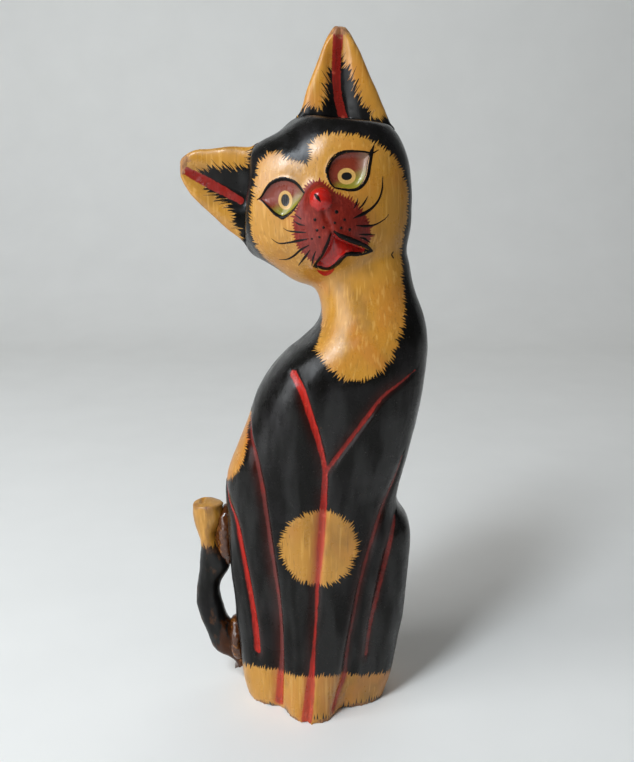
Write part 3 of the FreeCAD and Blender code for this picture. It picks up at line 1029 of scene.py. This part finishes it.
class Strokes:
    """Thin raised ribbons of paint, laid on a surface."""

    def __init__(self, surface):
        self.surface = surface
        self.corners, self.faces = [], []

    def on_surface(self, point, height):
        """Adds a corner at a height over the surface nearest to a point."""
        hit, normal, _, _ = self.surface.find_nearest(Vector(point))
        self.corners.append(tuple(hit + normal * height))

    def brush(self, line, half_widths):
        """One stroke along a line of (x, z) places."""
        places, normals = lifted(self.surface, smooth_line(line, step=0.3))
        trace = Trace(places, normals)
        first = len(self.corners)
        for place, normal, forward, travel in zip(places, normals, trace.along, trace.travel):
            side = np.cross(normal, forward)
            half = along(half_widths, trace, travel)
            for share, height in ACROSS:
                self.on_surface(place + side * share * half, height)
        rows, wide = len(places), len(ACROSS)
        for row in range(rows - 1):
            for column in range(wide - 1):
                a = first + row * wide + column
                self.faces.append((a, a + 1, a + wide + 1, a + wide))

    def dot(self, x, z, radius, height=0.22, sides=18):
        """One round spot with a domed top."""
        places, normals = lifted(self.surface, [(x, z)])
        centre, normal = places[0], normals[0]
        right = np.cross((0, 0, 1.0), normal)
        up = np.cross(normal, right)
        first = len(self.corners)
        self.on_surface(centre, height)
        rings = ((0.6, height * 0.85), (1.0, -0.06))
        for share, lift in rings:
            for turn in np.linspace(0, math.tau, sides, endpoint=False):
                wobble = 1 + 0.1 * math.sin(3 * turn + x) + 0.06 * math.sin(5 * turn + z)
                reach = radius * share * wobble
                self.on_surface(centre + reach * (math.cos(turn) * right + math.sin(turn) * up), lift)
        for i in range(sides):
            j = (i + 1) % sides
            inner, outer = first + 1, first + 1 + sides
            self.faces.append((first, inner + i, inner + j))
            self.faces.append((inner + i, outer + i, outer + j, inner + j))

    def piece(self, name):
        """The strokes as one object."""
        mesh = bpy.data.meshes.new(name)
        mesh.from_pydata([tuple(np.array(c) * MM) for c in self.corners], [], self.faces)
        work = bmesh.new()
        work.from_mesh(mesh)
        bmesh.ops.recalc_face_normals(work, faces=work.faces)
        work.to_mesh(mesh)
        work.free()
        return new_piece(name, mesh)


def face_strokes(body):
    """Eye lines, whiskers, lip lines and whisker dots."""
    strokes = Strokes(surface_of(body))
    for line, widths in LASHES + WHISKERS + LIP_LINES:
        strokes.brush(line, widths)
    for x, z, radius in DOTS:
        strokes.dot(x, z, radius)
    return coat_with(strokes.piece("face_strokes"), ink_material())


# ---- ears

EARS = {
    "left_ear": dict(
        stripe=([(-56.5, 246), (-50, 242.4), (-43.9, 239.3), (-31.9, 233)], (1.5, 1.75, 1.75, 1.35)),
        black=[(-51.5, 243.6), (-47.5, 245.4), (-41, 246), (-34, 246.9), (-28.6, 248.2),
               (-24, 256), (-15, 252), (-17, 230), (-22, 208), (-30.8, 213), (-32.2, 220.5),
               (-34, 224), (-36.4, 228.6), (-39, 232), (-43, 235.8), (-47.5, 240.6)],
        tip=(-56.0, 247.5)),
    "right_ear": dict(
        stripe=([(8.4, 300), (8.0, 285), (8.8, 274), (10.9, 265.6)], (2.1, 1.75, 1.5, 1.6)),
        black=[(8.6, 291.5), (12.4, 284.7), (15.2, 278), (17.8, 273.3), (20.3, 268.7),
               (23, 265.4), (33, 264.8), (36, 250), (12, 250), (-14, 256), (-7, 268.2),
               (0.6, 269.3), (3.4, 275.5), (5.6, 283.5)],
        tip=(9.2, 300.0)),
}


def ear_material(name):
    """Ochre with a black hollow, a red stripe down it and a worn tip."""
    paint = Paint(name + "_paint")
    dark = paint.furry(paint.kept("dark"), paint.kept("dark_run"), 4.4, 9.0, width=1.8, lean=-0.8)
    on_dark = paint.step(dark, *SHARP)
    colour = paint.over(ochre_paint(paint), black_paint(paint), on_dark)
    ragged = paint.noise(1.3) * 0.9 - 0.45
    on_stripe = paint.step(paint.kept("stripe") + ragged, 0.14, -0.14)
    colour = paint.over(colour, red_paint(paint, EAR_RED), on_stripe)
    chips = paint.noise(2.6, detail=5.0, roughness=0.7) + paint.kept("wear") * 0.26
    bare = paint.step(chips + paint.kept("tip") * 0.3, 0.76, 0.80)
    colour = paint.over(colour, wood(paint), bare * 0.85)
    height = surface_grain(paint) - bare * 0.7 + on_dark * 0.2 + on_stripe * 0.25
    shine = gloss(paint, 0.25, 0.4) + bare * 0.3
    lively = paint.most(1.0 - on_dark, on_stripe)
    return paint.finish(colour, shine, height, specular=varnish(paint, lively))


def line_length(line):
    """Length of a line."""
    return np.linalg.norm(np.diff(line, axis=0), axis=1).sum()


def ear(name):
    """An ear whittled from its CAD solid, with its paint laid out."""
    drawing = EARS[name]
    piece = carved_copy(name, name + "_carving", 0.6)
    soften(piece, 2)
    knife_marks(piece, ((9.0, 0.3), (3.5, 0.1)))
    mesh = piece.data
    co, normals = points_of(mesh), normals_of(mesh)
    black = smooth_line(drawing["black"], closed=True, step=1.0)
    dark, dark_run = inside_outline(co, black)
    dark_run = np.minimum(dark_run, line_length(black) - dark_run)
    stripe_line, widths = drawing["stripe"]
    stripe_line = smooth_line(stripe_line, step=0.5)
    reach = flat_distance(co, stripe_line[0])
    shares = np.linspace(0, line_length(stripe_line), len(widths))
    stripe = line_distance(co, stripe_line) - np.interp(reach, shares, widths)
    behind = ramp(normals[:, 1], -0.15, 0.15)
    away = flat_distance(co, drawing["tip"])
    knob = 1.1 * bell(away, 6.5)
    hollow = 1.1 * bell(np.maximum(stripe, -1), 3.0) * (1 - behind)
    set_points(mesh, co + normals * (knob - hollow)[:, None])
    back = 8 - 14 * ramp(away, 22, 12)
    keep_numbers(mesh, dark=np.where(behind > 0.5, back, dark), dark_run=dark_run,
                 stripe=np.where(behind > 0.5, FAR, stripe),
                 wear=roundness(piece) * (1 - ramp(away, 28, 33)), tip=1 - ramp(away, 1.5, 6.5))
    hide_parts(name)
    return coat_with(piece, ear_material(name))


# ---- tail and glue

TAIL_TIP_EDGE = 73.0         # height where the yellow tip ends
TAIL_HOLE = (-54.0, 95.0)
TAIL_CROWN = (-51.0, 6.0)    # x of the domed top, and its reach
TAIL_MIDDLE = -49.0          # x that the spikes of the tip are spaced around
LOWER_JOINT = (-39.0, 20.0)  # glue has run over the tail round here


def tail_material():
    """Black shaft rubbed brown, with a yellow tip and glue smeared over the foot."""
    paint = Paint("painted_tail")
    on_tip = paint.step(paint.furry(paint.kept("tip"), paint.kept("tip_run"), 3.2, 21.0), *SHARP)
    colour = paint.over(black_paint(paint), ochre_paint(paint), on_tip)
    rub = paint.noise(5.0, 2, detail=5.0) + paint.kept("wear") * 0.22
    rubbed = paint.step(rub, 0.6, 0.74)
    colour = paint.over(colour, OLD_WOOD, rubbed * 0.45)
    uneven = paint.noise(2.6, 3, detail=5.0) * 2.2 - 1.1
    smear = paint.step(paint.kept("glue") + uneven, 0.5, 0.75)
    colour = paint.over(colour, GLUE_BROWN, smear * 0.65)
    bare = paint.step(rub, 0.8, 0.84)
    colour = paint.over(colour, wood(paint), bare)
    height = surface_grain(paint, 1.3) - bare * 0.7
    shine = gloss(paint, 0.28, 0.42) + rubbed * 0.15 - smear * 0.18
    return paint.finish(colour, shine, height, bump=0.4, specular=varnish(paint, on_tip))


def tail():
    """The tail, whittled round, with a small hole in its tip."""
    piece = carved_copy("tail", "tail_carving", 0.7)
    soften(piece, 4)
    knife_marks(piece, ((8.0, 0.5), (3.0, 0.12)))
    mesh = piece.data
    co, normals = points_of(mesh), normals_of(mesh)
    low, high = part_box("tail")
    centre_y = (low[1] + high[1]) / 2 / MM
    crown = np.hypot(co[:, 0] - TAIL_CROWN[0], co[:, 1] - centre_y)
    co[:, 2] += 1.7 * bell(crown, TAIL_CROWN[1]) * ramp(co[:, 2], 88, 93)
    front = normals[:, 1] < 0
    hole = flat_distance(co, TAIL_HOLE)
    co -= normals * (1.6 * np.exp(-(hole / 0.9) ** 4) * front)[:, None]
    set_points(mesh, co)
    turn = np.arctan2(co[:, 1] - centre_y, co[:, 0] - TAIL_MIDDLE)
    tip = co[:, 2] - TAIL_TIP_EDGE + 1.2 * np.sin(turn)
    to_joint = np.hypot(co[:, 0] - LOWER_JOINT[0], (co[:, 2] - LOWER_JOINT[1]) * 0.7)
    keep_numbers(mesh, tip=bounded(tip), tip_run=turn * 7.0, glue=1 - ramp(to_joint, 5, 19),
                 wear=roundness(piece))
    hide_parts("tail")
    return coat_with(piece, tail_material())


def glue_drip(name, material):
    """A lumpy bead of glue squeezed out of the joint."""
    piece = carved_copy(name, name + "_bead", 0.5)
    soften(piece, 3)
    knife_marks(piece, ((4.5, 0.9), (1.8, 0.22)))
    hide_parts(name)
    return coat_with(piece, material)


# ---- studio

CAMERA_PLACE = (0, -0.354, 0.2493)
CAMERA_DOWN = 14.9           # degrees below level
CAMERA_LENS = 39.3
EXPOSURE = -0.4
GLOW_COLOUR, GLOW_STRENGTH = (0.86, 0.88, 0.9, 1), 0.13
# Name, azimuth and elevation in degrees, distance, size, watts and colour.
LIGHTS = [
    ("window", -58, 26, 1.15, (0.85, 1.2), 17.0, (0.94, 0.97, 1.0)),
    ("high_window", -36, 48, 1.15, (0.22, 0.42), 10.5, (0.84, 0.92, 1.0)),
    ("room_fill", 45, 40, 1.8, (1.6, 1.2), 1.1, (1.0, 0.97, 0.93)),
    ("back_fill", 165, 45, 1.6, (1.2, 1.0), 6.0, (1.0, 0.98, 0.96)),
]


def studio_material():
    """Pale matt paper."""
    paint = Paint("pale_paper")
    cloud = paint.noise(60.0, detail=2.0)
    colour = paint.over((240, 239, 235), (233, 232, 228), cloud)
    return paint.finish(colour, 0.75, paint.noise(0.8), bump=0.05)


def studio_sweep():
    """A floor that curves up into a backdrop well behind the figure."""
    near_edge, bend, radius, top, half = -1.6, 0.75, 0.35, 1.5, 2.4
    profile = [(near_edge, 0.0), (bend, 0.0)]
    for turn in np.linspace(0, math.pi / 2, 17)[1:]:
        profile.append((bend + radius * math.sin(turn), radius * (1 - math.cos(turn))))
    profile.append((bend + radius, top))
    work = bmesh.new()
    rows = [[work.verts.new((x, y, z)) for x in (-half, half)] for y, z in profile]
    for low, high in zip(rows[:-1], rows[1:]):
        work.faces.new((low[0], low[1], high[1], high[0]))
    mesh = bpy.data.meshes.new("studio_sweep")
    work.to_mesh(mesh)
    work.free()
    sweep = new_piece("studio_sweep", mesh)
    mesh.materials.append(studio_material())
    mesh.polygons.foreach_set("use_smooth", [True] * len(mesh.polygons))


def window_light(name, azimuth, elevation, distance, size, power, colour):
    """A soft rectangular light that faces the figure; azimuth 0 is the camera's side."""
    lamp = bpy.data.lights.new(name, "AREA")
    lamp.shape = "RECTANGLE"
    lamp.size, lamp.size_y = size
    lamp.energy = power
    lamp.color = colour
    holder = bpy.data.objects.new(name, lamp)
    a, e = math.radians(azimuth), math.radians(elevation)
    target = Vector((0, 0, 0.17))
    away = Vector((math.sin(a) * math.cos(e), -math.cos(a) * math.cos(e), math.sin(e)))
    holder.location = target + away * distance
    holder.rotation_euler = away.to_track_quat("Z", "Y").to_euler()
    bpy.context.scene.collection.objects.link(holder)


def studio():
    """Sweep, lights, surrounding glow and camera."""
    studio_sweep()
    for light in LIGHTS:
        window_light(*light)
    scene = bpy.context.scene
    scene.world = bpy.data.worlds.new("studio_glow")
    scene.world.use_nodes = True
    glow = scene.world.node_tree.nodes["Background"]
    glow.inputs["Color"].default_value = GLOW_COLOUR
    glow.inputs["Strength"].default_value = GLOW_STRENGTH
    scene.view_settings.view_transform = "Standard"
    scene.view_settings.exposure = EXPOSURE
    lens = bpy.data.cameras.new("camera")
    lens.lens = CAMERA_LENS
    lens.clip_start = 0.01
    scene.camera = bpy.data.objects.new("camera", lens)
    scene.camera.location = CAMERA_PLACE
    scene.camera.rotation_euler = (math.radians(90 - CAMERA_DOWN), 0, 0)
    scene.collection.objects.link(scene.camera)


# ---- the figure

body, line_traces = sculpted_body()
lay_out_body_paint(body, line_traces)
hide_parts("body")
coat_with(body, body_material())
face_strokes(body)
for ear_name in EARS:
    ear(ear_name)
tail()
glue_look = glue_material()
for bead in ("tail_upper_glue", "tail_lower_glue"):
    glue_drip(bead, glue_look)
peg_look = peg_material()
for node_name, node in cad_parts.items():
    if node_name.endswith("_peg"):
        for slot in node.material_slots:
            slot.link = "OBJECT"
            slot.material = peg_look
studio()
